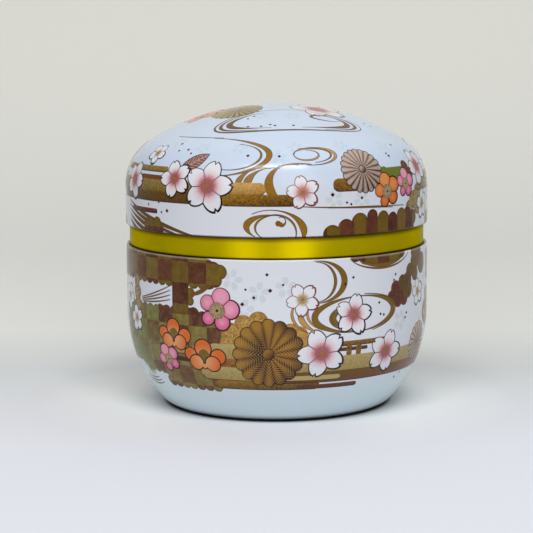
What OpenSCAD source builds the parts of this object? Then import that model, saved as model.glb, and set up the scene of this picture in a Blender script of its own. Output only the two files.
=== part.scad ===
// Round tea caddy: a drawn tinplate body and a domed lid that meet over a bare
// sleeve, and a moulded inner lid that plugs the sleeve's mouth.
// Each piece is a revolved form less the same form set in by the wall, so its wall is even.
// +Z is up. The origin is the centre of the ring that the caddy stands on.

/* [Outside] */
// Outside diameter of the body and the lid
outer_d = 85; // [70:0.5:100]
// Height of the body's rim above the table
body_h = 45.4; // [40:0.2:60]
// Height of bare sleeve between the body's rim and the lid's hem
band_h = 5.6; // [3:0.1:9]
// Depth of the step from the outside down to the sleeve
step_w = 1; // [0.8:0.05:1.6]
// Thickness of the tinplate
sheet_t = 0.3; // [0.2:0.01:0.36]

/* [Body] */
// Height at which the straight wall starts to curve in
flank_z = 26.2; // [20:0.2:32]
// Radius of the long curve under the straight wall
flank_r = 36; // [34:0.1:50]
// Radius of the corner between the long curve and the base
base_corner_r = 5.4; // [2:0.1:8]
// Width of the flat ring that the caddy stands on
ring_w = 3; // [1.5:0.1:6]
// Height of the base panel above the table
panel_rise = 1.6; // [1.4:0.1:4]
// Outside radius of the bend on the ring's inner edge
foot_bend_r = 0.7; // [0.5:0.05:0.9]
// Inside radius of the bend round the base panel
panel_bend_r = 0.4; // [0.2:0.05:0.5]

/* [Lid] */
// Height of the lid's straight skirt
skirt_h = 10.8; // [6:0.2:20]
// Radius of the lid's shoulder
shoulder_r = 14.6; // [9:0.1:20]
// Radius of the lid's crown
crown_r = 67.5; // [56:0.5:110]

/* [Sleeve] */
// Radius of the curl round the sleeve's mouth
curl_r = 0.5; // [0.4:0.02:0.7]

/* [Inner lid] */
// Wall thickness of the inner lid
plug_t = 0.9; // [0.6:0.05:1.4]
// Depth of the well below the flange's top
well_depth = 6; // [4.5:0.1:9]
// Radius of the corner under the well
plug_corner_r = 2; // [1.5:0.1:3]
// Thickness of the flange over the sleeve's curl
flange_t = 0.7; // [0.5:0.05:1.1]
// Radius of the sealing ribs round the plug
rib_r = 0.25; // [0.15:0.01:0.4]
// Number of sealing ribs
rib_n = 2; // [1:1:2]
// Distance from one sealing rib to the next
rib_pitch = 1.4; // [1:0.1:1.5]
// Length of the pinch bar across the well
bar_l = 30; // [20:1:44]
// Thickness of the pinch bar's web
bar_t = 1.8; // [1:0.1:2.6]
// Radius of the bead along the pinch bar's top
bead_r = 1.8; // [1.4:0.1:2.2]
// Height of the pinch bar above the floor of the well
bar_h = 5.4; // [4.5:0.1:8]

/* [Fits] */
// Radial gap between two pieces that slide apart
slide_gap = 0.1; // [0.05:0.01:0.2]
// Gap where a loose piece sits on another
seat_gap = 0.1; // [0.05:0.01:0.3]
// Gap where the sleeve is pressed into the body
press_gap = 0.02; // [0.01:0.01:0.05]

/* [Hidden] */
$fn = 96;
curl_fn = 32;
// How far a cut runs past the face that it opens
cut = 1;

outer_r = outer_d / 2;
sleeve_r = outer_r - step_w;

// Body: the long curve runs into the base corner where both arcs share a tangent
rim_r = (step_w - press_gap) / 2;
flank_c = [outer_r - flank_r, flank_z];
corner_reach = sqrt(pow(flank_r - base_corner_r, 2) - pow(flank_z - base_corner_r, 2));
ring_r = flank_c.x + corner_reach;
flank_end = atan2(base_corner_r - flank_z, corner_reach);
foot_c = [ring_r - ring_w, foot_bend_r];
riser_r = foot_c.x - foot_bend_r;
panel_c = [riser_r - panel_bend_r, panel_rise - panel_bend_r];

// Lid: the crown runs into the shoulder where both arcs share a tangent
hem_r = (step_w - slide_gap) / 2;
hem_z = body_h + band_h;
shoulder_c = [outer_r - shoulder_r, hem_z + skirt_h];
crown_drop = sqrt(pow(crown_r - shoulder_r, 2) - pow(shoulder_c.x, 2));
crown_c = [0, shoulder_c.y - crown_drop];
shoulder_end = atan2(crown_drop, shoulder_c.x);

// Sleeve: its foot rests on the body's long curve, its curl carries the lid's shoulder
sleeve_foot = flank_z - sqrt(pow(flank_r - sheet_t - press_gap, 2) - pow(flank_r - step_w, 2));
curl_rise = sqrt(pow(shoulder_r - sheet_t - curl_r - seat_gap, 2) - pow(shoulder_r - step_w - curl_r, 2));
curl_c = [sleeve_r - curl_r, shoulder_c.y + curl_rise];
mouth_r = sleeve_r - 2 * curl_r;

// Inner lid: its flange lies on the crown of the sleeve's curl
flange_z = curl_c.y + curl_r + seat_gap;
plug_r = mouth_r - slide_gap - rib_r;
plug_z = flange_z + flange_t - well_depth - plug_t;
bead_z = plug_z + plug_t + bar_h - bead_r;

// Wedge with its point at c, from angle a0 to angle a1, long enough to cross a disc of radius r
module wedge(c, r, a0, a1) {
    reach = 2 * r;
    polygon([c, for (a = [a0, (a0 + a1) / 2, a1]) c + reach * [cos(a), sin(a)]]);
}

// Rectangle between two corners
module span(low, high) {
    translate(low) square(high - low);
}

// Rolled edge of a wall that meets it on the outside: side is -1 if the wall comes from below, 1 from above
module curl(c, r, side) {
    hollow_r = r - sheet_t;
    translate(c)
    difference() {
        circle(r, $fn = curl_fn);
        circle(hollow_r, $fn = curl_fn);
        translate([0, side < 0 ? -r : 0]) square([hollow_r, r]);
    }
}

// Outline of the body, set in from its outside
module body_form(inset) {
    span([0, flank_z], [outer_r - inset, body_h + cut]);
    span([0, inset], [ring_r, body_h + cut]);
    translate([ring_r, base_corner_r]) circle(base_corner_r - inset);
    intersection() {
        translate(flank_c) circle(flank_r - inset);
        wedge(flank_c, flank_r, flank_end, 90);
    }
}

// Space under the base panel, set out from its outside
module base_recess(inset) {
    span([0, -cut], [riser_r + inset, panel_c.y]);
    span([0, -cut], [panel_c.x, panel_rise + inset]);
    translate(panel_c) circle(panel_bend_r + inset, $fn = curl_fn);
    difference() {
        span([0, -cut], foot_c);
        translate(foot_c) circle(foot_bend_r - inset, $fn = curl_fn);
    }
}

module body_profile(inset) {
    difference() {
        body_form(inset);
        base_recess(inset);
    }
}

module body_shell() {
    color([0.86, 0.88, 0.92])
    rotate_extrude() {
        curl([outer_r - rim_r, body_h - rim_r], rim_r, -1);
        intersection() {
            span([0, 0], [outer_r, body_h - rim_r]);
            difference() {
                body_profile(0);
                body_profile(sheet_t);
            }
        }
    }
}

module neck_sleeve() {
    color([0.80, 0.68, 0.10])
    rotate_extrude() {
        curl(curl_c, curl_r, -1);
        span([sleeve_r - sheet_t, sleeve_foot], [sleeve_r, curl_c.y]);
    }
}

// Bar that two fingers pinch to pull the inner lid out
module pinch_bar() {
    web_z = plug_z + plug_t / 2;
    translate([-bar_l / 2, -bar_t / 2, web_z]) cube([bar_l, bar_t, bead_z - web_z]);
    translate([-bar_l / 2, 0, bead_z]) rotate([0, 90, 0]) cylinder(r = bead_r, h = bar_l, $fn = curl_fn);
    for (side = [-1, 1])
        translate([side * bar_l / 2, 0, bead_z]) sphere(bead_r, $fn = curl_fn);
}

// Outline of the plug, set in from its outside
module plug_form(inset) {
    corner_c = [plug_r - plug_corner_r, plug_z + plug_corner_r];
    span([0, corner_c.y], [plug_r - inset, flange_z + flange_t + inset]);
    span([0, plug_z + inset], [corner_c.x, flange_z + flange_t + inset]);
    translate(corner_c) circle(plug_corner_r - inset);
}

// Flat ring over the sleeve's curl, with a quarter-round edge
module flange() {
    edge_c = [curl_c.x - flange_t, flange_z];
    span([plug_r - plug_t, flange_z], edge_c + [0, flange_t]);
    intersection() {
        translate(edge_c) circle(flange_t, $fn = curl_fn);
        span([plug_r, flange_z], [curl_c.x, flange_z + flange_t]);
    }
}

module sealing_ribs() {
    for (i = [0 : rib_n - 1])
        translate([plug_r, plug_z + plug_corner_r + rib_r + i * rib_pitch]) circle(rib_r, $fn = curl_fn);
}

module inner_lid() {
    color([0.93, 0.94, 0.93, 0.8]) {
        rotate_extrude() {
            flange();
            sealing_ribs();
            difference() {
                plug_form(0);
                plug_form(plug_t);
            }
        }
        pinch_bar();
    }
}

// Outline of the lid, set in from its outside
module lid_form(inset) {
    span([0, hem_z], [outer_r - inset, shoulder_c.y]);
    translate(shoulder_c) circle(shoulder_r - inset);
    intersection() {
        translate(crown_c) circle(crown_r - inset);
        wedge(crown_c, crown_r, shoulder_end, 90);
    }
}

module lid_shell() {
    color([0.88, 0.90, 0.94])
    rotate_extrude() {
        curl([outer_r - hem_r, hem_z + hem_r], hem_r, 1);
        intersection() {
            span([0, hem_z + hem_r], [outer_r, crown_c.y + crown_r]);
            difference() {
                lid_form(0);
                lid_form(sheet_t);
            }
        }
    }
}

body_shell();
neck_sleeve();
inner_lid();
lid_shell();
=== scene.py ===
"""Round tea caddy with a printed tin body and lid, a gold sleeve between them and a moulded inner lid.

The print is drawn by the materials themselves. Each figure is placed by its angle round the caddy, from the
front towards +X, and by its height up the surface: on the lid from its hem, on the body from the table."""
import math

import bpy
from mathutils import Matrix, Vector


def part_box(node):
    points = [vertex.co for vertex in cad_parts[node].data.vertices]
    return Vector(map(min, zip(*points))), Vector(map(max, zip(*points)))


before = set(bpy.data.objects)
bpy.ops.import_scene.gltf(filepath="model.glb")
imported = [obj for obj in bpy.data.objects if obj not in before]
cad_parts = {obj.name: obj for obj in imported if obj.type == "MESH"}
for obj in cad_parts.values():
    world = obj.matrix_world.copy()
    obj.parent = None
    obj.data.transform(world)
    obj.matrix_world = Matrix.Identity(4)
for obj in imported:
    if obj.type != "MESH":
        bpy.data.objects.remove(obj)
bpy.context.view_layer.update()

MM = 0.001

# Sizes of the revolved forms, in millimetres, as the construction has them
OUTER_R = 42.5
FLANK_Z = 26.2
FLANK_R = 36
SKIRT_H = 10.8
SHOULDER_R = 14.6
CROWN_R = 67.5
BODY_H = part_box("body_shell")[1].z / MM
HEM_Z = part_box("lid_shell")[0].z / MM
SHOULDER_Z = HEM_Z + SKIRT_H
SHOULDER_X = OUTER_R - SHOULDER_R
CROWN_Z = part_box("lid_shell")[1].z / MM - CROWN_R
# Angle at which the shoulder runs into the crown, in radians, and the way up the lid from hem to top
SHOULDER_END = math.atan2(SHOULDER_Z - CROWN_Z, SHOULDER_X)
LID_RUN = SKIRT_H + SHOULDER_R * SHOULDER_END + CROWN_R * (math.pi / 2 - SHOULDER_END)

# Width and height of a check in the checked clouds, in millimetres
CHECK = (5.64, 5.7)
# How often the print repeats round the caddy
REPEATS = 2
# Where the fan of strokes on the left of the lid starts, in degrees
FAN_LEFT = -71
# Softness of a printed edge, width of a stroke's dark edge and half width of a stroke's end, in millimetres
SOFT = 0.12
LINE = 0.17
THIN = 0.12
# Petals of a blossom, and the width of its outline in millimetres, plain and fine
BLOSSOM = 5
PEN = 0.34
FINE_PEN = 0.28
# A notch in a petal's tip opens about thirty degrees to either side of the petal's middle line
NOTCH_ALONG = 0.5
NOTCH_ACROSS = 0.87
# Points on the axis that the inner faces of the lid and of the body look towards, in metres
LID_CENTRE = (0, 0, 0.045)
BODY_CENTRE = (0, 0, 0.026)
# Point that the lamps are aimed at, in metres
LAMP_AIM = (0, 0, 0.05)


def srgb(red, green, blue):
    """Linear colour from the 0 to 255 values that a screen shows."""
    def linear(value):
        value /= 255
        return value / 12.92 if value <= 0.04045 else ((value + 0.055) / 1.055) ** 2.4
    return (linear(red), linear(green), linear(blue), 1.0)


# Inks of the print
WHITE = srgb(214, 218, 227)
# Painted sky light: the blue of the lid's ground up the dome
PAINTED_SKYLIGHT = srgb(197, 210, 229)
# Painted reflection of the floor, low on the body
FLOOR_REFLECTION = srgb(203, 220, 228)
PETAL = srgb(220, 222, 229)
BLUSH = srgb(216, 170, 178)
ROSE = srgb(158, 86, 88)
CLAY = srgb(186, 126, 108)
STAMEN = srgb(112, 50, 50)
PINK = srgb(206, 98, 138)
SHELL_PINK = srgb(222, 152, 176)
ORANGE = srgb(204, 98, 26)
APRICOT = srgb(212, 138, 78)
PEACH = srgb(226, 172, 122)
OUTLINE = srgb(36, 14, 14)
UMBER = srgb(72, 46, 18)
SEPIA = srgb(92, 66, 30)
GOLD = srgb(148, 108, 34)
BRIGHT_GOLD = srgb(196, 152, 82)
PALE_GOLD = srgb(176, 158, 104)
KHAKI = srgb(148, 126, 68)
AMBER = srgb(110, 66, 8)
BRONZE = srgb(120, 92, 26)
BROWN = srgb(108, 58, 36)
MAROON = srgb(62, 18, 12)
CLARET = srgb(98, 56, 50)
OLIVE = srgb(104, 78, 14)
MOSS = srgb(120, 104, 34)
SAGE = srgb(142, 138, 78)
GREEN = srgb(84, 118, 44)
TAUPE = srgb(160, 136, 122)
STONE = srgb(186, 164, 150)
SHADOW = srgb(200, 207, 214)
# Pale blossom grey with the painted sky light of the lid's dome
SKYLIT_PALE = srgb(190, 204, 220)
# Painted shade at the body's foot, where it curves under to the table
FOOT_SHADE = srgb(18, 19, 19)
# Painted highlight on the body's rim
RIM_HIGHLIGHT = srgb(250, 250, 250)

# Gold lacquer inside the tin and on the sleeve, and the plastic of the inner lid
LACQUER = srgb(196, 170, 96)
GILT = srgb(222, 199, 3)
LIGHT_GILT = srgb(230, 207, 6)
MILK = srgb(232, 234, 232)
LIGHT_MILK = srgb(240, 241, 239)

# Backdrop, its tones painted light and shade: the floor from front to back, next to the caddy and under it,
# then the bend and the wall
# Painted light and shade: the floor lighter in front and darker towards the back
FLOOR_FRONT = srgb(225, 227, 236)
FLOOR_BACK = srgb(208, 211, 213)
# Painted light on the floor next to the caddy
FLOOR_BESIDE_LIGHT = srgb(240, 243, 242)
# Painted contact shadow under the caddy's foot
FLOOR_CONTACT_SHADOW = srgb(10, 10, 10)
# Painted light on the floor's far end, and painted shade in the bend
FLOOR_END_LIGHT = srgb(219, 220, 217)
BEND_SHADE = srgb(205, 206, 202)
WALL = srgb(223, 222, 216)
# Backdrop outside the picture, at the sides and in front, as all rays but the camera's see it
CARD_SIDE = srgb(168, 170, 170)
CARD_FRONT = srgb(64, 64, 64)

# Light of the lamps
DAYLIGHT = (1.0, 0.975, 0.94)
SKYLIGHT = (0.6, 0.81, 1.0)


class Val:
    """A number that varies over a surface: an output of a node, with arithmetic that adds more nodes."""

    def __init__(self, socket):
        self.socket = socket

    def op(self, kind, *others, clamp=False):
        """Result of one kind of sum with this number and others, kept from 0 to 1 by clamp."""
        tree = self.socket.id_data
        node = tree.nodes.new("ShaderNodeMath")
        node.operation = kind
        node.use_clamp = clamp
        for socket, value in zip(node.inputs, (self, *others)):
            plug(socket, value)
        return Val(node.outputs[0])

    def __add__(self, other):
        return self.op("ADD", other)

    def __sub__(self, other):
        return self.op("SUBTRACT", other)

    def __rsub__(self, number):
        return self.op("MULTIPLY_ADD", -1.0, number)

    def __mul__(self, other):
        return self.op("MULTIPLY", other)

    def __truediv__(self, other):
        return self.op("DIVIDE", other)

    __radd__ = __add__
    __rmul__ = __mul__

    def scaled(self, factor, plus):
        """Times a factor, plus a number."""
        return self.op("MULTIPLY_ADD", factor, plus)

    def size(self):
        return self.op("ABSOLUTE")

    def least(self, other):
        return self.op("MINIMUM", other)

    def most(self, other):
        return self.op("MAXIMUM", other)

    def sin(self):
        return self.op("SINE")

    def cos(self):
        return self.op("COSINE")

    def share(self, low, high):
        """0 at low and below, 1 at high and above."""
        return self.op("MULTIPLY_ADD", 1 / (high - low), -low / (high - low), clamp=True)


def plug(socket, value):
    """Links a varying value to a socket, or sets a fixed one on it."""
    if isinstance(value, Val):
        socket.id_data.links.new(value.socket, socket)
    else:
        socket.default_value = value


def length(u, v):
    """Distance of the point u, v from the middle."""
    return u.op("MULTIPLY_ADD", u, v * v).op("SQRT")


def inside(distance):
    """1 where a distance is below zero, 0 where it is above."""
    return distance.op("MULTIPLY_ADD", -1 / SOFT, 0.5, clamp=True)


def mixed(share, first, second):
    """Colour that goes from first to second with share."""
    tree = share.socket.id_data
    node = tree.nodes.new("ShaderNodeMix")
    node.data_type = "RGBA"
    plug(node.inputs["Factor"], share)
    plug(node.inputs[6], first)
    plug(node.inputs[7], second)
    return Val(node.outputs[2])


class Figure:
    """One printed figure: a node group that lays its colours over the print under it."""

    def __init__(self, name):
        self.tree = bpy.data.node_groups.new(name, "ShaderNodeTree")
        face = self.tree.interface
        for label in ("Across", "Up", "Grain"):
            face.new_socket(label, in_out="INPUT", socket_type="NodeSocketFloat")
        face.new_socket("Under", in_out="INPUT", socket_type="NodeSocketColor")
        face.new_socket("Print", in_out="OUTPUT", socket_type="NodeSocketColor")
        given = self.tree.nodes.new("NodeGroupInput").outputs
        self.colour = Val(given["Under"])
        # A share of the print under it, too small to count, has the figures worked out one after the other
        order = self.colour * 1e-12
        self.across = Val(given["Across"]) + order
        self.up = Val(given["Up"]) + order
        self.grain = Val(given["Grain"]) + order

    def local(self, place, turn=0.0):
        """Millimetres right of and above a place, in axes turned anticlockwise by turn degrees."""
        u = place.right_of(self.across)
        v = self.up - place.up
        if not turn:
            return u, v
        c = math.cos(math.radians(turn))
        s = math.sin(math.radians(turn))
        return u * c + v * s, v * c - u * s

    def paint(self, distance, colour):
        """Lays a colour where a distance is below zero."""
        self.colour = mixed(inside(distance), self.colour, colour)

    def shade(self, share, colour):
        """Lays a colour as thick as share says."""
        self.colour = mixed(share, self.colour, colour)

    def close(self):
        """Gives the print with the figure on it."""
        result = self.tree.nodes.new("NodeGroupOutput")
        plug(result.inputs["Print"], self.colour)


class Side:
    """A place on the side of the caddy: degrees from the front, and millimetres up the surface."""

    def __init__(self, angle, up, radius):
        self.angle = math.radians(angle)
        self.up = up
        self.radius = radius

    def right_of(self, across):
        """Millimetres to the right of the nearest repeat of the place."""
        half = math.pi / REPEATS
        return (across - self.angle).op("WRAP", half, -half) * self.radius


def on_lid(angle, up):
    """A place on the lid, with the radius that the lid has there."""
    turn = min(max(up - SKIRT_H, 0) / SHOULDER_R, SHOULDER_END)
    return Side(angle, up, SHOULDER_X + SHOULDER_R * math.cos(turn))


def on_body(angle, up):
    """A place on the body, with the radius that the body has there."""
    turn = max(FLANK_Z - up, 0) / FLANK_R
    return Side(angle, up, OUTER_R - FLANK_R + FLANK_R * math.cos(turn))


class Top:
    """A place on the lid's dome, seen from above: millimetres right of its middle, and behind it."""

    def __init__(self, x, y):
        self.x = x
        self.up = y

    def right_of(self, across):
        """Millimetres to the right of the place."""
        return across - self.x


def petals(u, v, count):
    """Distance from the middle, and the place along and across the nearest of count petals."""
    reach = length(u, v)
    swing = u.op("ARCTAN2", v).op("PINGPONG", math.pi / count)
    return reach, reach * swing.cos(), reach * swing.sin()


def rays(u, v, reach, count):
    """Distance from the nearest of count lines out of the middle."""
    return u.op("ARCTAN2", v).op("PINGPONG", math.pi / count).sin() * reach


def seam(along, wide, count):
    """Distance from the line between two petals, below zero all over a petal."""
    half = math.pi / count
    return wide * math.cos(half) - along * math.sin(half)


def notch(along, wide, start):
    """Distance from the notch that opens from start to a petal's tip, below zero all over the rest."""
    return (along - start).op("MULTIPLY_ADD", NOTCH_ALONG, wide * -NOTCH_ACROSS)


def outline_width(u, v, size, line):
    """Width of an outline that is heavier at a blossom's lower right."""
    return (u - v).scaled(0.3 * line / size, line)


def union(u, v, forms):
    """Distance from a shape made of discs, boxes and scalloped boxes.
    Each has its place to the right and up. Then a disc has its radius, and a box half its width and height.
    A scalloped box also has the scallops' pitch."""
    whole = None
    for x, y, *sizes in forms:
        right = u - x
        up = v - y
        if len(sizes) == 1:
            part = length(right, up) - sizes[0]
        else:
            part = scalloped(right, up, *sizes)
        whole = part if whole is None else whole.least(part)
    return whole


def scalloped(right, up, half_w, half_h, pitch=0.0):
    """Distance from a box, with round scallops along its edges where a pitch is given."""
    if not pitch:
        return (right.size() - half_w).most(up.size() - half_h)
    deep = 0.34 * pitch
    side = right.size() - bumps(up, pitch) * deep
    edge = up.size() - bumps(right, pitch) * deep
    return (side - (half_w - deep)).most(edge - (half_h - deep))


def bumps(along, pitch):
    """Row of round bumps: 1 at the middle of each, 0 where two meet."""
    off = along.op("PINGPONG", pitch / 2) * (2 / pitch)
    return (1.0 - off * off).op("SQRT")


def chance(column, row):
    """A number from 0 to 1 for each check, always the same for the same one."""
    stride = 37.0
    node = column.socket.id_data.nodes.new("ShaderNodeTexWhiteNoise")
    node.noise_dimensions = "1D"
    plug(node.inputs["W"], column.op("MULTIPLY_ADD", stride, row))
    return Val(node.outputs["Value"])


def sakura(fig, place, size, turn=0, heart=ROSE, blush=BLUSH, line=PEN, ink=OUTLINE):
    """Cherry blossom: five notched white petals that blush towards the middle, with streaks and stamens."""
    petal_at = 0.52 * size
    petal_l = 0.5 * size
    petal_w = 0.37 * size
    notch_at = 0.88 * size
    stamen_l = 0.30 * size
    streaks = 20
    stamens = 15
    u, v = fig.local(place, turn)
    reach, along, wide = petals(u, v, BLOSSOM)
    oval = length(along.scaled(1 / petal_l, -petal_at / petal_l), wide * (1 / petal_w))
    petal = oval.scaled(petal_w, -petal_w).most(notch(along, wide, notch_at))
    fig.paint(petal - outline_width(u, v, size, line), ink)
    bloom = mixed(reach.share(0.70 * size, 0.34 * size), PETAL, blush)
    fig.paint(petal.most(seam(along, wide, BLOSSOM) + line / 3), bloom)
    core = (reach - rays(u, v, reach, streaks) * 0.8).share(0.46 * size, 0.24 * size)
    fig.shade(core * inside(petal - line), mixed(fig.grain * 0.2, heart, blush))
    fig.paint(rays(u, v, reach, stamens).scaled(1.0, -0.05).most(reach - stamen_l), STAMEN)
    fig.paint(reach - 0.09 * size, GOLD)


def ume(fig, place, size, turn=0, edge=PINK, heart=SHELL_PINK):
    """Plum blossom: five round petals, larger at the upper right, about a large middle with gold stamens."""
    petal_at = 0.62 * size
    petal_r = 0.37 * size
    middle_r = 0.41 * size
    stamen_l = 0.36 * size
    stamens = 17
    u, v = fig.local(place, turn)
    reach, along, wide = petals(u, v, BLOSSOM)
    grown = (v * 1.6 + u) * 0.06
    petal = length(along - petal_at, wide) - grown - petal_r
    fig.paint(petal - outline_width(u, v, size, PEN), OUTLINE)
    glow = petal.op("MULTIPLY_ADD", 2.6 / size, v * (-0.5 / size)).share(-0.9, 0.1)
    fig.paint(petal.most(seam(along, wide, BLOSSOM) + PEN / 3), mixed(glow, heart, edge))
    fig.paint(reach - middle_r, mixed(fig.grain, SEPIA, TAUPE))
    fig.paint(rays(u, v, reach, stamens).scaled(1.0, -0.08).most(reach - stamen_l), PALE_GOLD)
    fig.paint(reach - 0.08 * size, UMBER)


def ume_profile(fig, place, size):
    """Plum blossom seen from the side: three petals behind a green heart, and two that join below it.
    Each petal has its place to the right and up and its radius, as shares of the size."""
    behind = ((-0.72, 0.10, 0.31), (0.78, 0.06, 0.36), (0.0, 0.44, 0.42))
    below = ((-0.42, -0.30, 0.36), (0.46, -0.32, 0.37))
    u, v = fig.local(place)
    flush = length(u, v + 0.2 * size).share(0.85 * size, 0.05 * size)
    ink = mixed(flush * 0.75, ORANGE, PEACH)
    for x, y, r in behind:
        outlined(fig, length(u - x * size, v - y * size) - r * size, ink)
    heart = length(u.scaled(1.2, -0.04 * size), v - 0.02 * size) - 0.38 * size
    fig.paint(heart, mixed(fig.grain, OLIVE, MOSS))
    join = length(u - 0.02 * size, v + 0.46 * size) - 0.12 * size
    outlined(fig, join, ink)
    for x, y, r in below:
        outlined(fig, length(u - x * size, v - y * size) - r * size, ink)
    fig.paint(join, ink)


def outlined(fig, form, ink):
    """Form with an outline round it."""
    fig.paint(form - PEN, OUTLINE)
    fig.paint(form, ink)


def pale_flower(fig, place, size, turn=0, ink=SHADOW):
    """Pale silhouette of a blossom: five notched petals that stand apart."""
    petal_at = 0.62 * size
    petal_r = 0.27 * size
    notch_at = 0.84 * size
    u, v = fig.local(place, turn)
    _, along, wide = petals(u, v, BLOSSOM)
    petal = length((along - petal_at) * 0.72, wide) - petal_r
    fig.paint(petal.most(notch(along, wide, notch_at)), ink)


def chrysanthemum(fig, place, size, count, dark, light, pitch=0.0):
    """Round flower of many narrow petals about a button, with ruled chevrons where their pitch is given."""
    edge = 0.12
    tip_r = size * math.sin(math.pi / count)
    button_r = 0.17 * size
    u, v = fig.local(place)
    reach, along, wide = petals(u, v, count)
    form = length((along - (size - tip_r)).most(0.0), wide) - tip_r
    fig.paint(form - edge, OUTLINE)
    gap = wide / along.most(0.1) * (1 / math.tan(math.pi / count))
    tone = reach.scaled(0.25 / size, 0.60) - gap * gap * 0.85
    tone = (u + v * -2.0).op("MULTIPLY_ADD", -0.12 / size, tone) + fig.grain * 0.2
    fig.paint(form + 0.1, mixed(tone.share(0.0, 0.95), dark, light))
    if pitch:
        chevrons(fig, u, v, form, size, count // 2, pitch)
    fig.paint(reach - button_r, OUTLINE)
    fig.paint(reach - button_r + 0.2, mixed((v - u).share(-0.2 * size, 0.2 * size), dark, light))


def chevrons(fig, u, v, form, size, count, pitch):
    """Fine gold chevrons over a flower's sides and foot, on petals that are shaded first.
    The shade lies near the middle on the left, and near the rim on the right."""
    rule_half = 0.07
    inset = 0.3
    reach, along, wide = petals(u, v, count)
    rule = (along + wide * 1.2).op("PINGPONG", pitch / 2)
    foot = (u.size() * 0.5 - v).share(-0.5 * size, 0.1 * size)
    left = reach.share(0.8 * size, 0.3 * size) * u.share(0.1 * size, -0.2 * size)
    right = reach.share(0.6 * size, 1.0 * size) * u.share(0.0, 0.4 * size)
    fig.shade((left + right) * inside(form) * 0.9, OUTLINE)
    fig.shade(inside((form + inset).most(rule - rule_half)) * foot * 0.75, BRIGHT_GOLD)


def leaf(fig, place, size, turn=0):
    """Pointed brown leaf with a rib and veins."""
    vein_gap = 0.55
    vein_half = 0.1
    u, v = fig.local(place, turn)
    half = 0.42 * size
    bow = (size * size + half * half) / (2 * half)
    side = v.size()
    form = length(u, side + (bow - half)) - bow
    fig.paint(form, OUTLINE)
    fig.paint(form + LINE, mixed(fig.grain * 0.6, BROWN, TAUPE))
    vein = (u - side).op("PINGPONG", vein_gap)
    fig.shade(inside((vein - vein_half).least(side - vein_half).most(form + 0.3)) * 0.8, BLUSH)


def mist(fig, place, width, height, light=PALE_GOLD, dark=GOLD, edge=UMBER, run=0.0):
    """Bar of gold mist with round ends and a dark lower edge, deepening to its right by run."""
    edge_half = 0.14
    u, v = fig.local(place)
    half = height / 2
    form = length((u.size() - (width / 2 - half)).most(0.0), v) - half
    depth = v.op("MULTIPLY_ADD", -0.6 / height, fig.grain.scaled(0.8, 0.1))
    if run:
        depth = u.op("MULTIPLY_ADD", run / width, depth)
    fig.paint(form, mixed(depth.share(0.0, 1.0), light, dark))
    fig.paint((form.size() - edge_half).most(v + 0.2 * height), edge)


def patchwork(fig, place, forms, cell=CHECK, shift=(0.0, 0.0), dark=(MAROON, BROWN), light=(OLIVE, MOSS),
              worn=0.16):
    """Cloud filled with checks, dark and light in turn, each of its own tone and blotched all over.
    Dark and light run into each other by worn."""
    u, v = fig.local(place)
    form = union(u, v, forms)
    column = u.scaled(1 / cell[0], shift[0]).op("FLOOR")
    row = v.scaled(1 / cell[1], shift[1]).op("FLOOR")
    blotch = noise(fig.tree, scale=0.5, detail=4.0, rough=0.65).share(0.36, 0.64)
    odd = (column + row).op("FLOORED_MODULO", 2.0).op("MULTIPLY_ADD", 1 - worn, blotch * worn)
    tone = chance(column, row).op("MULTIPLY_ADD", 0.5, blotch * 0.5)
    ground = mixed(odd, mixed(tone, *dark), mixed(tone, *light))
    fig.paint(form, mixed(fig.grain * 0.3, ground, UMBER))
    fig.shade(inside(form) * form.share(-0.7, 0.1) * 0.5, MAROON)


def cloud(fig, place, forms, light=GOLD, dark=BROWN, rim=0.6, fade=0.0):
    """Speckled cloud, with its edge as dark as rim says, or fading out over so many millimetres."""
    u, v = fig.local(place)
    form = union(u, v, forms)
    tone = mixed(fig.grain, light, dark)
    if fade:
        fig.shade(form.share(fade, -fade), tone)
    else:
        fig.paint(form, tone)
    if rim:
        fig.shade(inside(form) * form.share(-1.0, 0.1) * rim, BROWN)


def stroke(fig, distance, gold):
    """Brush stroke: a dark line that opens to gold where it is wide enough."""
    fig.paint(distance, SEPIA)
    fig.paint(distance + LINE, mixed(fig.grain * 0.45, gold, AMBER))


def curl(fig, place, size, start, sweep, width, grow=0.0, turn=0, peak=0.5, gold=GOLD):
    """Spiral stroke round a place: size is its half width and half height where it starts, at start degrees.
    It runs anticlockwise for sweep degrees, or clockwise where sweep is below zero, and grows by grow.
    It is widest at peak, as a share of its run."""
    # How fast the stroke ends, in millimetres for as long a run again
    cut = 9
    u, v = fig.local(place, turn)
    way = math.copysign(1.0, sweep)
    x = u * (1 / size[0])
    y = v * (way / size[1])
    reach = length(x, y)
    angle = (y.op("ARCTAN2", x) - way * math.radians(start)).op("WRAP", 2 * math.pi, 0.0)
    t = angle * (1 / math.radians(abs(sweep)))
    slope = length(x * (1 / size[0]), y * (1 / size[1])) / reach
    off = (reach - t.scaled(grow, 1.0)).size() / slope
    part = t.least(1.0)
    if peak != 0.5:
        part = part.op("POWER", math.log(0.5) / math.log(peak))
    swell = (part * math.pi).sin()
    half = (swell * swell).scaled(width / 2, THIN)
    stroke(fig, (off - half).most((t - 1.0) * cut), gold)


def stream(fig, place, reach, bend, width, gold=GOLD):
    """Long stroke through a place, so far to either side.
    Its bend is how far it rises there as a line, as a bow and as a wave."""
    u, v = fig.local(place)
    x = u * (1 / reach)
    line = x.scaled(bend[2], bend[1]).op("MULTIPLY_ADD", x, bend[0]) * x
    swell = (1.0 - x * x).most(0.0)
    off = (v - line).size() - swell.scaled(width / 2, THIN)
    stroke(fig, off.most((x.size() - 1.0) * reach), gold)


def dots(fig, place, spots):
    """Small lozenges, each given as right, up and half its height."""
    u, v = fig.local(place)
    form = None
    for x, y, size in spots:
        lozenge = (u - x).size() + (v - y).size() - size
        form = lozenge if form is None else form.least(lozenge)
    fig.paint(form, MAROON)


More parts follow.
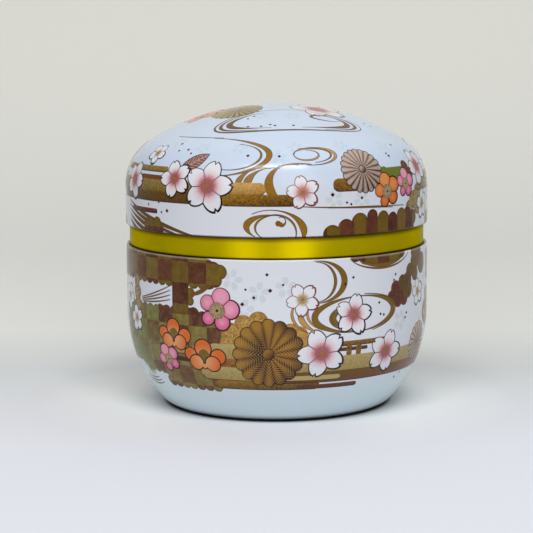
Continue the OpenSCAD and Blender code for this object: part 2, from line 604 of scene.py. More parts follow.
class Print:
    """The print of one surface: figures laid one over the other on a material."""

    def __init__(self, tree, name, ground):
        self.tree = tree
        self.name = name
        self.colour = ground
        self.count = 0

    def lay(self, coords, draw, place, *sizes, **options):
        """Lays the figure that draw draws at a place over those laid before it."""
        self.count += 1
        fig = Figure(f"{self.name}_{self.count}_{draw.__name__}")
        draw(fig, place, *sizes, **options)
        fig.close()
        node = self.tree.nodes.new("ShaderNodeGroup")
        node.node_tree = fig.tree
        for label, value in zip(("Across", "Up", "Grain"), coords):
            plug(node.inputs[label], value)
        plug(node.inputs["Under"], self.colour)
        self.colour = Val(node.outputs["Print"])


def lid_clouds(lay, side):
    """Clouds round the lid."""
    stripes = (3.9, 90)
    lay(side, cloud, on_lid(49, 15.6), ((0, 0.3, 5.6, 1.6), (-3.6, 0.7, 1.6)), GREEN, MOSS, rim=0)
    lay(side, cloud, on_lid(57.5, 17.0), ((0, 0.4, 1.7), (1.6, -1.6, 1.6)), OLIVE, UMBER)
    lay(side, mist, on_lid(51, 13.4), 9, 2.0, light=PALE_GOLD, dark=OLIVE)
    puffs = ((0, 0, 2.5), (2.6, 2, 2.3), (-2.4, -2, 2), (3, -1.5, 2.8))
    lay(side, cloud, on_lid(61, 8), puffs, PALE_GOLD, OLIVE)
    bank = ((-14.1, 0.6, 2.6), (-10.1, 2.2, 2.4), (-5.9, 3.4, 2.6), (-1.8, 4.9, 1.8), (2.1, 4.0, 2.1))
    bank += ((5.8, 3.6, 1.9), (9.6, 4.2, 2.1), (12.6, 4.2, 2.1), (15.6, 3.2, 2.2))
    bank += ((-12, -1, 4.4, 2), (-5.8, 0.8, 2.3, 3), (6, 1, 10.5, 3.6))
    green = (OLIVE, BRONZE)
    lay(side, patchwork, on_lid(39.1, 0), bank, cell=stripes, shift=(0, 1.5), light=green, worn=0.04)
    behind = ((-7, 0, 3), (-2, 1.6, 3.2), (3.6, 1, 3.2), (8, -0.6, 2.6))
    lay(side, patchwork, on_lid(88, 1), behind, cell=stripes)


def lid_streams(lay, side):
    """Brush strokes round the lid."""
    lay(side, stream, on_lid(-40, 29.7), 9, (0.2, 0, 0), 0.1)
    lay(side, curl, on_lid(-28, 22.4), (17.8, 7.2), 96, -180, 1.4, grow=-0.1)
    lay(side, curl, on_lid(-18.5, 22.5), (8.4, 4.6), 80, -180, 0.4)
    lay(side, curl, on_lid(-4.5, 13.2), (7.0, 5.4), 75, 115, 1.4, peak=0.75)
    lay(side, curl, on_lid(-1.2, 13.2), (7.0, 5.4), 75, 115, 1.9, peak=0.75)
    lay(side, curl, on_lid(5.5, 14.4), (6.0, 5.2), 70, 190, 2.2, peak=0.65)
    lay(side, curl, on_lid(12, 22.6), (3.3, 1.8), 90, -290, 0.4, gold=BRIGHT_GOLD)
    lay(side, curl, on_lid(14.4, 22.5), (5.0, 2.3), 180, -285, 0.9, grow=0.42, gold=BRIGHT_GOLD)
    lay(side, curl, on_lid(13.4, 22.6), (5.8, 2.6), 120, -200, 0.4)
    lay(side, stream, on_lid(7, 19.7), 4.4, (0.2, -0.4, 0), 0.3)
    lay(side, curl, on_lid(-2, 1.4), (8.7, 6.0), 125, -150, 1.7, peak=0.74)
    lay(side, curl, on_lid(-0.6, 1.4), (5.6, 4.8), 110, -140, 0.4)
    lay(side, curl, on_lid(-2, 2.9), (6.4, 3.2), 60, 170, 1.6, peak=0.62)
    lay(side, curl, on_lid(0, 2.7), (5.6, 3.4), 90, 140, 0.4)
    lay(side, curl, on_lid(1.6, 4.5), (1.2, 1.1), 120, -250, 0.7, peak=0.8)
    lay(side, cloud, on_lid(0.6, 3.9), ((0, 0, 0.75), (0.6, -0.2, 0.6)), GOLD, AMBER, rim=0.4)
    lay(side, stream, on_lid(28, 7.5), 14, (-0.6, 0, -0.1), 0.2)
    lay(side, stream, on_lid(36, 7.5), 13, (-0.4, -0.2, 0), 0.1)
    fan = ((-29.5, 7.6), (-36.5, 6.4), (-44, 5.2), (-52, 3.8), (-60, 2.4))
    for right, top in fan:
        half = math.radians(right - FAN_LEFT) / 2 * OUTER_R
        middle = on_lid((FAN_LEFT + right) / 2, top / 2 - 0.5)
        lay(side, stream, middle, half, (-top / 2 - 0.2, 0.5, 0), 1.0, gold=SEPIA)
    patch = ((-1.6, 0.6, 1.7), (1.8, 0.8, 1.6), (0, -0.6, 4.4, 1.3))
    lay(side, patchwork, on_lid(-51.2, 2), patch, cell=(90, 2.6), shift=(0.5, 1.15))
    lay(side, curl, on_lid(86, 22), (7, 3.4), 170, -300, 1.1, grow=0.3)


def lid_mist(lay, side):
    """Bars of gold mist round the lid."""
    lay(side, mist, on_lid(-61, 17.3), 24, 1.6, light=KHAKI, dark=OLIVE)
    lay(side, mist, on_lid(-53, 14.8), 11, 1.5, light=AMBER, dark=BROWN)
    lay(side, mist, on_lid(-56, 12.7), 39, 3.2, light=KHAKI, dark=OLIVE)
    lay(side, mist, on_lid(-54, 9.9), 36, 2.7, light=OLIVE, dark=UMBER)
    lay(side, mist, on_lid(-11, 12.9), 10.6, 3.2, light=BRIGHT_GOLD, dark=GOLD)
    lay(side, mist, on_lid(-6.5, 9.9), 20.5, 3.0, light=GOLD, dark=UMBER, run=0.4)
    lay(side, mist, on_lid(-58, 5.9), 14, 1.2, light=BROWN, dark=MAROON)
    lay(side, mist, on_lid(26, 13.6), 8, 3.4, light=GOLD, dark=UMBER)
    lay(side, mist, on_lid(86, 14), 26, 2.6, light=TAUPE, dark=KHAKI)
    lay(side, mist, on_lid(82, 11.4), 28, 2.2, light=KHAKI, dark=BROWN)


def lid_pale_flowers(lay, side, top):
    """Pale blossoms behind the rest of the lid's print."""
    # On the shoulder and the dome the pale grey takes the painted sky light
    shoulder = ((-32.4, 25), (-15.4, 25.4), (-48, 26.6), (8, 25.6))
    shoulder += ((28.8, 26.2), (52, 25), (1, 22), (80, 27))
    for angle, up in shoulder:
        lay(side, pale_flower, on_lid(angle, up), 2.4, turn=angle, ink=SKYLIT_PALE)
    for angle, up in ((21, 9.8), (32, 9.4)):
        lay(side, pale_flower, on_lid(angle, up), 2.7, turn=angle)
    for x, y in ((4.4, -18.8), (-4, -19), (22, 4), (-6, 22)):
        lay(top, pale_flower, Top(x, y), 2.6, turn=20, ink=SKYLIT_PALE)


def lid_flowers(lay, side):
    """Blossoms, leaf and dots round the lid."""
    lay(side, leaf, on_lid(-33.0, 19.8), 5.0, turn=36)
    lay(side, chrysanthemum, on_lid(33.6, 17.6), 6.5, 20, dark=OUTLINE, light=STONE)
    lay(side, ume, on_lid(44, 11.1), 4.6, turn=14, edge=ORANGE, heart=APRICOT)
    lay(side, ume, on_lid(55, 12.6), 3.9)
    lay(side, sakura, on_lid(-56, 22), 3.3, turn=-30, heart=PALE_GOLD, blush=PETAL, line=FINE_PEN)
    lay(side, sakura, on_lid(-66, 13.6), 5.0, turn=-20)
    lay(side, sakura, on_lid(-40, 15), 5.0, turn=20)
    lay(side, sakura, on_lid(-25.4, 13.4), 6.8, turn=-14)
    lay(side, sakura, on_lid(9.4, 12), 4.2, turn=12, heart=CLAY, line=FINE_PEN, ink=STAMEN)
    lay(side, sakura, on_lid(68, 17), 5.2, turn=24)
    lay(side, sakura, on_lid(70, 6.4), 4.0, turn=8, heart=GOLD, blush=PETAL)
    lay(side, ume, on_lid(92, 17.5), 4.4, turn=10, edge=ORANGE, heart=APRICOT)
    lay(side, sakura, on_lid(84, 11), 4.6, turn=-8)
    for place, spots in (
        (on_lid(26, 9.6), ((-4.3, 1.5, 0.6), (-0.2, -0.7, 0.4), (1.1, -1.2, 0.4), (4.4, 0.3, 0.5))),
        (on_lid(-47, 6.6), ((-5.2, 0.8, 0.4), (0.6, -0.9, 0.4), (2.8, -0.4, 0.6), (-0.5, 1.7, 0.4))),
        (on_lid(-41, 24), ((1.2, 0, 0.5), (2.9, -1.3, 0.4), (-3.2, 2.3, 0.5), (-1.8, -0.6, 0.4))),
        (on_lid(54, 23), ((2.8, 1.6, 0.5), (-2.4, -2.1, 0.5), (-2.8, -1.2, 0.4))),
        (on_lid(-3, 22.6), ((-5.4, -0.2, 0.5), (2.8, -0.4, 0.5))),
    ):
        lay(side, dots, place, spots)


def lid_top(lay, top):
    """Streams and blossoms on the dome: those that show from the front, then those behind them."""
    lay(top, chrysanthemum, Top(-10.8, -10.3), 7.2, 20, dark=UMBER, light=PALE_GOLD)
    lay(top, ume, Top(-21, -5), 5.8, edge=APRICOT, heart=SHELL_PINK)
    lay(top, sakura, Top(11.5, -8.4), 7.6, turn=30)
    tilt = 8.5
    pool = Top(3.4, -20.9)
    lay(top, curl, Top(3.4, -20.8), (20.6, 7.6), 75, 320, 0.6, turn=tilt, gold=SEPIA)
    lay(top, curl, pool, (18.9, 6.9), 120, 120, 0.8, turn=tilt, gold=SEPIA)
    lay(top, curl, pool, (18.9, 6.9), -60, 130, 0.8, turn=tilt, gold=SEPIA)
    lay(top, curl, pool, (16.4, 6.0), 110, 140, 1.7, turn=tilt, gold=SEPIA)
    lay(top, curl, pool, (16.6, 6.0), -80, 140, 1.5, turn=tilt, gold=SEPIA)
    lay(top, curl, Top(13.6, -17.3), (4.0, 1.9), 20, 330, 0.7, turn=tilt, gold=SEPIA)
    spots = ((-4.7, 3.8), (-3, 5.3), (-4.7, -1.7), (-1.1, -2.2), (1.4, -1.4), (2.7, -2), (7.8, -1.6))
    lay(top, dots, Top(-3, -24), [(x, y, 0.5) for x, y in spots])
    lay(top, dots, Top(26, -11), ((-1.1, 0, 0.5), (0.7, -0.3, 0.5)))
    lay(top, curl, Top(-4, 8), (15, 6.5), 20, 310, 0.9, turn=-12)
    lay(top, curl, Top(-4, 8), (12.4, 5.2), 100, 170, 1.6, turn=-12)
    lay(top, sakura, Top(-17, 13), 6.2, turn=-12)
    lay(top, chrysanthemum, Top(14, 12), 6.6, 18, dark=UMBER, light=TAUPE)


def lid_print(paper, side, top):
    """Figures on the lid, from those at the back of the drawing to those in front."""
    lid_pale_flowers(paper.lay, side, top)
    lid_clouds(paper.lay, side)
    lid_streams(paper.lay, side)
    lid_mist(paper.lay, side)
    lid_top(paper.lay, top)
    lid_flowers(paper.lay, side)


def body_clouds(lay, side):
    """Pale blossoms, then the clouds round the body."""
    pale = ((-16, 40), (-6.3, 36.7), (3.2, 38.1), (-11.7, 32.2), (51.5, 26.8), (75, 36), (70, 25))
    for angle, up in pale:
        lay(side, pale_flower, on_body(angle, up), 3.0, turn=angle)
    checked_bank(lay, side)
    gold_clouds(lay, side)
    right_clouds(lay, side)


def checked_bank(lay, side):
    """Bank of checked clouds on the left: all of it keeps to one grid of checks."""
    grid = on_body(-41.1, 44.1)
    half = CHECK[0] / 2
    left = ((-15, -21.4, 11.6, 8.9, half), (-9.5, -28, 4.2, 4.2, half))
    lay(side, patchwork, grid, left, dark=(BROWN, MOSS), light=(GREEN, SAGE), worn=0.45)
    low = ((4.2, -31.2, 10.2, 4.7, half), (2, -27, 12, 4))
    lay(side, patchwork, grid, low, dark=(CLARET, BROWN), light=(MOSS, SAGE), worn=0.4)
    bank = ((0.6, -18.4, 6.3, 6.2, half), (7.2, -13.8, 1.8), (10, -14.8, 1.9), (11, -20.5, 5.9, 5.4))
    lay(side, patchwork, grid, bank, light=(MOSS, SAGE))
    top = ((-9.6, -2.05, 20.9, 5.05, half), (half, -9.8, half, 4.4))
    top += ((6.3, -8.3, 1.4), (6.2, -10.5, 1.2), (11.6, -0.6, 1.7))
    top += ((15.2, -2.2, 2.0), (13.2, -2, 2.5), (13.9, -4.5, 1.9), (12, -4.8, 2.2))
    lay(side, patchwork, grid, top)


def gold_clouds(lay, side):
    """Clouds at the left edge and behind the gold chrysanthemum."""
    worn = ((0, 3.4, 1.9), (0.4, 0.4, 2.3), (0.8, -2.6, 2))
    lay(side, cloud, on_body(-64.5, 33.4), worn, PALE_GOLD, BROWN)
    leafy = ((0, 0, 3.0), (-1.4, 2.6, 2.2), (1.2, -2.6, 2.0))
    lay(side, cloud, on_body(-62, 15.4), leafy, GREEN, MOSS, rim=0, fade=1.2)
    gold = ((0, 0, 2.4), (4, 0.8, 2.6), (-3.4, -2.6, 2.8), (-4.2, -5.4, 2.4), (0, -4, 4.2), (6, -3, 4))
    lay(side, cloud, on_body(-12, 28.4), gold, BRONZE, BRIGHT_GOLD, rim=0.4)
    small = ((0, 0, 2.2), (1.6, -2.2, 2.0), (-2.4, 1, 2.0))
    lay(side, cloud, on_body(8, 25.6), small, GOLD, BRIGHT_GOLD, rim=0.3)


def right_clouds(lay, side):
    """Clouds on the right, under the rim and at the edge."""
    wine = ((-3.3, -1.4, 2.1), (-0.9, -2.3, 2.0), (2, -2.3, 1.8), (-1.9, 1.1, 2.0), (1, 0, 2.4))
    lay(side, cloud, on_body(51.4, 34.7), wine, MAROON, BROWN)
    edge = ((0, 3.4, 2.2), (-0.6, 0, 2.4), (0.2, -3.6, 2.4), (2.6, 1.6, 3.2), (2.8, -2.4, 3))
    lay(side, cloud, on_body(78, 28.4), edge, TAUPE, BROWN, rim=0.4)
    lay(side, cloud, on_body(54.4, 36), ((-1, 1.2, 1.9), (1.7, -1.2, 2.5), (1.6, 1.4, 2.2)), OLIVE, UMBER)
    lobes = ((-4.2, -1.2, 2), (-1.2, 1, 2.6), (-1, -2.4, 2.0), (0, 4, 3.6), (4, 0, 3))
    lay(side, patchwork, on_body(64, 41), lobes, dark=(BROWN, OLIVE))
    rim = ((-8.6, 0.2, 1.6), (-5.4, 0, 2.3), (-2.6, -0.2, 2.7), (0, -0.3, 3.0))
    rim += ((2.8, -0.2, 2.8), (5.6, 0, 2.5), (8.2, 0.2, 1.9))
    lay(side, patchwork, on_body(41, BODY_H), rim, cell=(4.4, 90), shift=(0.3, 0.5))
    behind = ((0, 0, 8, 4.4, CHECK[0] / 2), (-3, -5, 2.2), (2, -6, 2.4))
    lay(side, patchwork, on_body(88, 40), behind)


def body_streams(lay, side):
    """Brush strokes round the body."""
    def ring(place, *sizes, **options):
        lay(side, curl, place, *sizes, gold=BRONZE, **options)

    ring(on_body(14, 39.3), (8.0, 5.6), 95, -190, 1.6)
    ring(on_body(14, 39.3), (5.4, 5.3), 90, -180, 0.7)
    for size, sweep, width in (((10.9, 6.4), 100, 0.6), ((8.7, 5.6), 110, 1.4), ((6.8, 4.8), 110, 0.5)):
        lay(side, curl, on_body(20, 31), size, 140, sweep, width, gold=BRIGHT_GOLD)
    ring(on_body(30.2, 30.2), (12.4, 4.7), 80, 200, 1.6, turn=2)
    ring(on_body(30.2, 30.2), (12.4, 4.7), -100, 200, 1.3, turn=2)
    ring(on_body(30.2, 30.2), (13.5, 5.2), -70, 150, 0.3, turn=2)
    ring(on_body(30.6, 29.6), (8.4, 3.8), 95, 165, 0.5, turn=2)
    ring(on_body(30.6, 29.6), (7.4, 3.0), 100, 165, 1.2, turn=2)
    ring(on_body(31.4, 29.6), (6.0, 2.3), 100, 150, 0.5, turn=2)
    for step in range(4):
        bend = (2.2 - 0.45 * step, 0.4, 0)
        lay(side, stream, on_body(-51, 34.6 - 0.8 * step), 6.6, bend, 0.2, gold=OLIVE)
    lay(side, stream, on_body(-28.3, 36.4), 3.4, (1.6, 0.5, 0), 1.1, gold=OLIVE)
    ring(on_body(42, 46.2), (9.6, 3.6), 188, 164, 0.8)
    ring(on_body(42, 46.2), (11.5, 4.4), 195, 150, 0.4)
    for step in range(3):
        ring(on_body(-61, 12.4), (5.2 + 1.3 * step, 3.0 + step), 225, 85, 0.3)
    ring(on_body(86, 27), (10, 4.6), 60, 300, 1.7)
    ring(on_body(87, 27), (7.4, 3.2), 80, 200, 1.9)


def body_mist(lay, side):
    """Bars of gold mist round the foot of the body."""
    lay(side, mist, on_body(-34, 20.2), 15, 2.2, light=PALE_GOLD, dark=KHAKI)
    lay(side, mist, on_body(-40, 17.6), 12, 1.2, light=UMBER, dark=MAROON)
    lay(side, mist, on_body(-17, 20.7), 13, 4.2, light=PALE_GOLD, dark=KHAKI)
    lay(side, mist, on_body(-14, 17.3), 14, 3.0, light=GOLD, dark=BROWN)
    lay(side, mist, on_body(-12, 14.3), 25, 4.0, light=PALE_GOLD, dark=KHAKI)
    lay(side, mist, on_body(-4, 10.9), 28, 2.6, light=GOLD, dark=UMBER, run=0.5)
    lay(side, mist, on_body(33, 22.5), 16, 1.3, light=GOLD, dark=UMBER)
    lay(side, mist, on_body(24, 21.0), 16, 0.9, light=BROWN, dark=MAROON)
    for angle in (27, 31):
        lay(side, cloud, on_body(angle, 20.4), ((0, 0, 0.8, 1.6),), GOLD, UMBER, rim=0)
    lay(side, mist, on_body(40, 17.0), 54, 4.4, light=PALE_GOLD, dark=KHAKI)
    lay(side, mist, on_body(42, 13.3), 58, 3.2, light=OLIVE, dark=BROWN, edge=MAROON)
    lay(side, mist, on_body(11, 13.1), 19, 1.5, light=PALE_GOLD, dark=PALE_GOLD)
    lay(side, mist, on_body(20.5, 10.4), 16.5, 1.3, light=BROWN, dark=UMBER)


def body_flowers(lay, side):
    """Blossoms and dots round the body."""
    lay(side, chrysanthemum, on_body(67, 19.5), 5.4, 16, dark=OUTLINE, light=STONE)
    lay(side, chrysanthemum, on_body(-3.1, 20.2), 9.6, 16, dark=MAROON, light=GOLD, pitch=0.95)
    lay(side, ume_profile, on_body(-41, 23.8), 5.2)
    lay(side, ume_profile, on_body(-27.9, 18.7), 5.6)
    lay(side, ume, on_body(-45, 16.8), 3.9, turn=24)
    lay(side, ume, on_body(-21.8, 31.6), 5.6, turn=-14)
    small = {"heart": PALE_GOLD, "blush": PETAL, "line": FINE_PEN}
    lay(side, sakura, on_body(9.1, 34.8), 4.2, turn=30, ink=STAMEN, **small)
    lay(side, sakura, on_body(28.6, 30.1), 5.3, turn=-11)
    lay(side, sakura, on_body(16.3, 20.2), 6.5, turn=22)
    lay(side, sakura, on_body(44.3, 18.8), 5.8, turn=-18)
    for angle, up, turn in ((65.5, 33.3, 10), (-65, 26.4, 12), (-73, 32, 40)):
        lay(side, sakura, on_body(angle, up), 3.6, turn=turn, **small)
    lay(side, ume, on_body(92, 33), 5.0, turn=8)
    lay(side, sakura, on_body(86, 19), 6.0, turn=-10)
    spots = ((1.9, 4.5, 0.5), (2.7, 0.3, 0.6), (-3.8, 0.5, 0.4))
    spots += ((-1.6, -1.6, 0.5), (-4.7, -3.4, 0.6), (6.1, 1.8, 0.4))
    lay(side, dots, on_body(-6, 37), spots)
    lay(side, dots, on_body(57, 10.2), ((-1.0, -0.5, 0.5), (1.1, 0.6, 0.4)))
    spots = ((-10.1, 7), (-12.5, 5.4), (4.3, 5), (5, 6.5), (-1.5, -0.5))
    spots += ((-1, -3.6), (0.2, -3.9), (10.2, -4.6), (9.6, -5.8))
    lay(side, dots, on_body(42, 33), [(x, y, 0.45) for x, y in spots])


def body_print(paper, side):
    """Figures on the body, from those at the back of the drawing to those in front."""
    body_clouds(paper.lay, side)
    body_streams(paper.lay, side)
    body_mist(paper.lay, side)
    body_flowers(paper.lay, side)


def object_axes(tree):
    """The point's x, y and z in its own object, in metres."""
    where = tree.nodes.new("ShaderNodeTexCoord")
    parts = tree.nodes.new("ShaderNodeSeparateXYZ")
    tree.links.new(where.outputs["Object"], parts.inputs[0])
    return [Val(out) for out in parts.outputs]


def caddy_coordinates(tree):
    """Angle from the front in radians, and the point's radius and height in millimetres."""
    x, y, z = object_axes(tree)
    angle = x.op("ARCTAN2", y * -1.0)
    return angle, length(x, y) * (1 / MM), z * (1 / MM)


def lid_rise(radius, height):
    """Millimetres up the lid's outside from its hem: up the skirt, round the shoulder and over the crown."""
    skirt = (height - HEM_Z).least(SKIRT_H)
    turn = (height - SHOULDER_Z).op("ARCTAN2", radius - SHOULDER_X)
    shoulder = turn.most(0.0).least(SHOULDER_END)
    crown = (height - CROWN_Z).op("ARCTAN2", radius) - SHOULDER_END
    crown_edge = SHOULDER_X + SHOULDER_R * math.cos(SHOULDER_END)
    past = (radius * -1 + crown_edge).op("GREATER_THAN", 0.0)
    return skirt + shoulder * SHOULDER_R + crown.most(0.0) * CROWN_R * past


def body_rise(radius, height):
    """Millimetres up the body's outside, as its height on the straight wall and along the curve below it."""
    turn = (height - FLANK_Z).op("ARCTAN2", radius - (OUTER_R - FLANK_R))
    return height.most(FLANK_Z) + turn.least(0.0) * FLANK_R


def noise(tree, scale, detail, rough=0.5):
    """Cloudy values about one half, with so many grains to a millimetre."""
    where = tree.nodes.new("ShaderNodeTexCoord")
    node = tree.nodes.new("ShaderNodeTexNoise")
    tree.links.new(where.outputs["Object"], node.inputs["Vector"])
    node.inputs["Scale"].default_value = scale / MM
    node.inputs["Detail"].default_value = detail
    node.inputs["Roughness"].default_value = rough
    return Val(node.outputs["Fac"])


def outside(tree, centre):
    """1 on faces that look away from a point on the axis, 0 on those that look towards it."""
    where = tree.nodes.new("ShaderNodeTexCoord")
    away = tree.nodes.new("ShaderNodeVectorMath")
    away.operation = "SUBTRACT"
    away.inputs[1].default_value = centre
    tree.links.new(where.outputs["Object"], away.inputs[0])
    dot = tree.nodes.new("ShaderNodeVectorMath")
    dot.operation = "DOT_PRODUCT"
    tree.links.new(where.outputs["Normal"], dot.inputs[0])
    tree.links.new(away.outputs["Vector"], dot.inputs[1])
    return Val(dot.outputs["Value"]).op("GREATER_THAN", 0.0)


def new_material(name):
    """A new material, its nodes and its shader."""
    material = bpy.data.materials.new(name)
    material.use_nodes = True
    tree = material.node_tree
    return material, tree, tree.nodes["Principled BSDF"]


def set_sockets(shader, **values):
    """Sets fixed values on a shader's sockets, whose names have underscores here."""
    for name, value in values.items():
        shader.inputs[name.replace("_", " ")].default_value = value


def give(node, material):
    """Puts one material on all of a CAD node."""
    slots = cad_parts[node].data.materials
    slots.clear()
    slots.append(material)


def printed_tin(name, centre, draw):
    """Varnished print outside and gold lacquer inside."""
    material, tree, shader = new_material(name)
    angle, radius, height = caddy_coordinates(tree)
    grain = noise(tree, scale=1.6, detail=3.0, rough=0.7).share(0.34, 0.66)
    print_colour, inner_colour = draw(tree, angle, radius, height, grain)
    plug(shader.inputs["Base Color"], mixed(outside(tree, centre), inner_colour, print_colour))
    set_sockets(shader, Roughness=0.18, IOR=1.38)
    return material


def draw_lid(tree, angle, radius, height, grain):
    """Print on a ground with painted sky light, bluer up the dome, to a hem with painted shade underneath
    and inside.
    """
    skylight_rise = (9, 17)
    # Heights of the painted shade on the hem, under its outer curl and on its inside
    hem_under_shade = (HEM_Z + 0.6, HEM_Z + 0.2)
    hem_inside_shade = (HEM_Z + 1.4, HEM_Z + 0.8)
    rise = lid_rise(radius, height)
    far = LID_RUN - rise
    side = (angle, rise, grain)
    top = (angle.sin() * far, angle.cos() * far * -1.0, grain)
    # Painted sky light: the ground turns blue up the dome
    paper = Print(tree, "lid", mixed(rise.share(*skylight_rise), WHITE, PAINTED_SKYLIGHT))
    lid_print(paper, side, top)
    # Painted shade on the hem, inside it and underneath it
    inner = mixed(height.share(*hem_inside_shade), LACQUER, OUTLINE)
    return mixed(height.share(*hem_under_shade), paper.colour, OUTLINE), inner


def draw_body(tree, angle, radius, height, grain):
    """Print on a ground with a painted reflection of the floor, cooler towards the foot, and painted shade
    at the foot.
    At the top, a painted highlight on the rim and painted shade at its lip.
    """
    floor_reflection_rise = (14, 8)
    # Heights of the painted highlight on the rim, the painted shade at its lip and the painted shade at the
    # foot
    rim_highlight_height = (BODY_H - 0.7, BODY_H - 0.4)
    lip_shade_height = (BODY_H - 0.18, BODY_H - 0.06)
    foot_shade_height = (2.2, 0.1)
    rise = body_rise(radius, height)
    # Painted reflection of the floor: the ground turns cooler towards the foot
    paper = Print(tree, "body", mixed(rise.share(*floor_reflection_rise), WHITE, FLOOR_REFLECTION))
    body_print(paper, (angle, rise, grain))
    # Painted highlight on the rim's curl
    highlighted = mixed(height.share(*rim_highlight_height) * 0.15, paper.colour, RIM_HIGHLIGHT)
    # Painted shade at the rim's lip, in the gap under the sleeve
    lip_shaded = mixed(height.share(*lip_shade_height), highlighted, OUTLINE)
    # Painted shade at the foot, deepest at the table
    foot = height.share(*foot_shade_height)
    return mixed(foot * foot, lip_shaded, FOOT_SHADE), LACQUER


def gold_lacquer():
    """Yellow metal brushed round the sleeve, with painted shade in the groove at the body's rim and a
    painted shadow about the hem.
    """
    # Heights of the painted shade in the groove and of the painted shadow about the hem
    groove_shade_height = (BODY_H + 0.5, BODY_H + 0.1)
    worn_below = (HEM_Z - 1.3, HEM_Z - 0.2)
    worn_above = (HEM_Z + 1.0, HEM_Z + 0.1)
    material, tree, shader = new_material("gold_lacquer")
    height = caddy_coordinates(tree)[2]
    tone = mixed(noise(tree, scale=0.2, detail=3.0).share(0.3, 0.7), GILT, LIGHT_GILT)
    # Painted shadow of the lid's hem on the sleeve
    worn = height.share(*worn_below) * height.share(*worn_above) * 0.85
    # Painted shade in the groove above the body's rim
    groove = height.share(*groove_shade_height)
    plug(shader.inputs["Base Color"], mixed(groove, mixed(worn, tone, UMBER), UMBER))
    set_sockets(shader, Metallic=1.0, Roughness=0.36, Anisotropic=0.8, Anisotropic_Rotation=0.25)
    set_sockets(shader, Specular_Tint=(0.55, 0.55, 0.3, 1.0))
    along = tree.nodes.new("ShaderNodeTangent")
    along.direction_type = "RADIAL"
    along.axis = "Z"
    tree.links.new(along.outputs["Tangent"], shader.inputs["Tangent"])
    return material


def milky_plastic():
    """Faintly clouded white plastic of the inner lid."""
    material, tree, shader = new_material("milky_plastic")
    tone = noise(tree, scale=0.05, detail=3.0).share(0.3, 0.7)
    plug(shader.inputs["Base Color"], mixed(tone, MILK, LIGHT_MILK))
    set_sockets(shader, Roughness=0.42, IOR=1.5)
    return material


def dress():
    """Puts each CAD node in its material."""
    give("lid_shell", printed_tin("lid_print", LID_CENTRE, draw_lid))
    give("body_shell", printed_tin("body_print", BODY_CENTRE, draw_body))
    give("neck_sleeve", gold_lacquer())
    give("inner_lid", milky_plastic())


def lamp(name, place, size, power, colour):
    """Soft lamp of a width and a height, aimed at the caddy."""
    data = bpy.data.lights.new(name, "AREA")
    data.shape = "RECTANGLE"
    data.size = size[0]
    data.size_y = size[1]
    data.energy = power
    data.color = colour
    light = bpy.data.objects.new(name, data)
    light.location = place
    light.rotation_euler = (Vector(LAMP_AIM) - Vector(place)).to_track_quat("-Z", "Y").to_euler()
    bpy.context.scene.collection.objects.link(light)


def one_sided(tree, shader):
    """Lets the sheet be seen through from behind, so that the wall hides nothing from the other views."""
    back = tree.nodes.new("ShaderNodeNewGeometry").outputs["Backfacing"]
    clear = tree.nodes.new("ShaderNodeBsdfTransparent")
    either = tree.nodes.new("ShaderNodeMixShader")
    tree.links.new(back, either.inputs["Fac"])
    tree.links.new(shader.outputs["BSDF"], either.inputs[1])
    tree.links.new(clear.outputs["BSDF"], either.inputs[2])
    tree.links.new(either.outputs["Shader"], tree.nodes["Material Output"].inputs["Surface"])


def sheet_mesh():
    """Floor that curves up into a wall close behind the caddy, and more floor on the far side of it."""
    bend_y = 0.07
    bend_r = 0.14
    top = 1.0
    half = 2.4
    steps = 24
    strip_z = -0.0005
    line = [(-half, 0.0)]
    for i in range(steps + 1):
        a = math.pi / 2 * i / steps
        line.append((bend_y + bend_r * math.sin(a), bend_r - bend_r * math.cos(a)))
    line.append((bend_y + bend_r, top))
    verts = [(x, y, z) for y, z in line for x in (-half, half)]
    faces = [(2 * i, 2 * i + 1, 2 * i + 3, 2 * i + 2) for i in range(len(line) - 1)]
    behind = len(verts)
    verts += [(x, y, strip_z) for y in (bend_y, half) for x in (-half, half)]
    faces.append((behind, behind + 1, behind + 3, behind + 2))
    mesh = bpy.data.meshes.new("backdrop")
    mesh.from_pydata(verts, [], faces)
    mesh.polygons.foreach_set("use_smooth", [True] * len(faces))
    return mesh


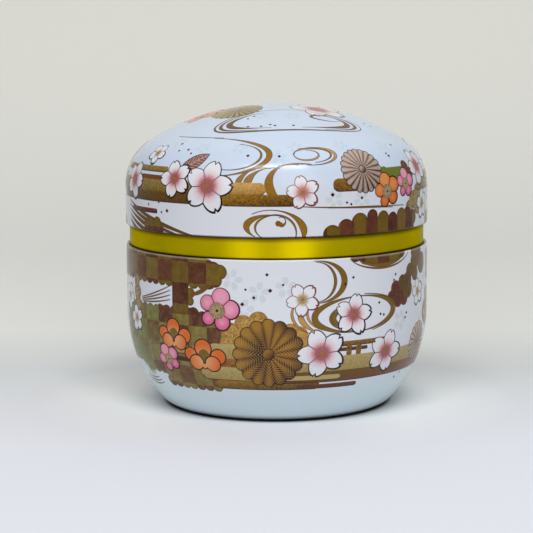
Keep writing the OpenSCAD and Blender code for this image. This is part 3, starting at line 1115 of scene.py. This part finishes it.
def sheet_colour(tree):
    """Pale sheet with painted light and shade: lighter next to the caddy and at the floor's far end, darker
    towards the back and in the bend, with a painted contact shadow under the caddy's foot.
    Outside the picture it is darker to all but the camera, as cards round a studio table are."""
    floor_y = (-0.06, 0.04)
    beside_light_r = (0.068, 0.042)
    beside_light_x = (0.015, 0.035)
    end_light_run = (0.045, 0.10)
    bend_shade_run = (0.10, 0.17)
    wall_z = (0.03, 0.12)
    contact_shadow_r = (0.0327, 0.0311)
    card_x = (0.13, 0.26)
    card_y = (-0.17, -0.40)
    x, y, z = object_axes(tree)
    # Painted light and shade: the floor lighter in front and darker towards the back
    floor = mixed(y.share(*floor_y), FLOOR_FRONT, FLOOR_BACK)
    # Painted light on the floor next to the caddy
    beside_light = length(x, y).share(*beside_light_r) * x.size().share(*beside_light_x)
    floor = mixed(beside_light * 0.6, floor, FLOOR_BESIDE_LIGHT)
    # Painted light on the floor's far end, then painted shade in the bend
    floor = mixed((y + z).share(*end_light_run), floor, FLOOR_END_LIGHT)
    sheet = mixed((y + z).share(*bend_shade_run), floor, BEND_SHADE)
    sheet = mixed(z.share(*wall_z), sheet, WALL)
    # Painted contact shadow under the caddy's foot
    sheet = mixed(length(x, y).share(*contact_shadow_r) * 0.98, sheet, FLOOR_CONTACT_SHADOW)
    cards = mixed(x.size().share(*card_x), sheet, CARD_SIDE)
    cards = mixed(y.share(*card_y), cards, CARD_FRONT)
    seen = Val(tree.nodes.new("ShaderNodeLightPath").outputs["Is Camera Ray"])
    return mixed(seen, cards, sheet)


def backdrop():
    """Pale matt sheet that the caddy stands on."""
    mesh = sheet_mesh()
    sheet = bpy.data.objects.new("backdrop", mesh)
    bpy.context.scene.collection.objects.link(sheet)
    material, tree, shader = new_material("backdrop")
    plug(shader.inputs["Base Color"], sheet_colour(tree))
    set_sockets(shader, Roughness=0.9)
    one_sided(tree, shader)
    mesh.materials.append(material)


def studio():
    """Backdrop, a blue light from above, a long lamp over the camera, two windows and an even white glow."""
    glow = 0.24
    backdrop()
    window = (0.58, 1.6)
    lamp("sky", place=(0.3, -0.05, 1.2), size=(0.8, 0.7), power=1.8, colour=SKYLIGHT)
    lamp("tube", place=(0, -0.65, 1.125), size=(0.8, 0.17), power=6.4, colour=DAYLIGHT)
    lamp("window_left", place=(-0.52, -1.05, 0.85), size=window, power=4.6, colour=DAYLIGHT)
    lamp("window_right", place=(0.34, -1.1, 0.85), size=window, power=5.85, colour=DAYLIGHT)
    world = bpy.data.worlds.new("studio")
    world.use_nodes = True
    set_sockets(world.node_tree.nodes["Background"], Color=(1, 1, 1, 1), Strength=glow)
    scene = bpy.context.scene
    scene.world = world
    scene.view_settings.view_transform = "Standard"


def camera():
    """The photograph's view: a long lens a little above the caddy, pitched down."""
    image_px = 533
    focal_px = 1773.6
    axis_px = 276.8
    sensor_mm = 36.0
    distance = 0.5
    height = 0.1058
    pitch = math.radians(7.73)
    roll = math.radians(-0.33)
    yaw = math.atan2(axis_px - image_px / 2, focal_px)
    data = bpy.data.cameras.new("camera")
    data.sensor_width = sensor_mm
    data.lens = focal_px * sensor_mm / image_px
    data.clip_start = 0.01
    eye = bpy.data.objects.new("camera", data)
    turn = Matrix.Rotation(yaw, 4, "Z") @ Matrix.Rotation(math.pi / 2 - pitch, 4, "X")
    turn = turn @ Matrix.Rotation(roll, 4, "Z")
    eye.matrix_world = Matrix.Translation((0, -distance, height)) @ turn
    bpy.context.scene.collection.objects.link(eye)
    bpy.context.scene.camera = eye


camera()
studio()
dress()
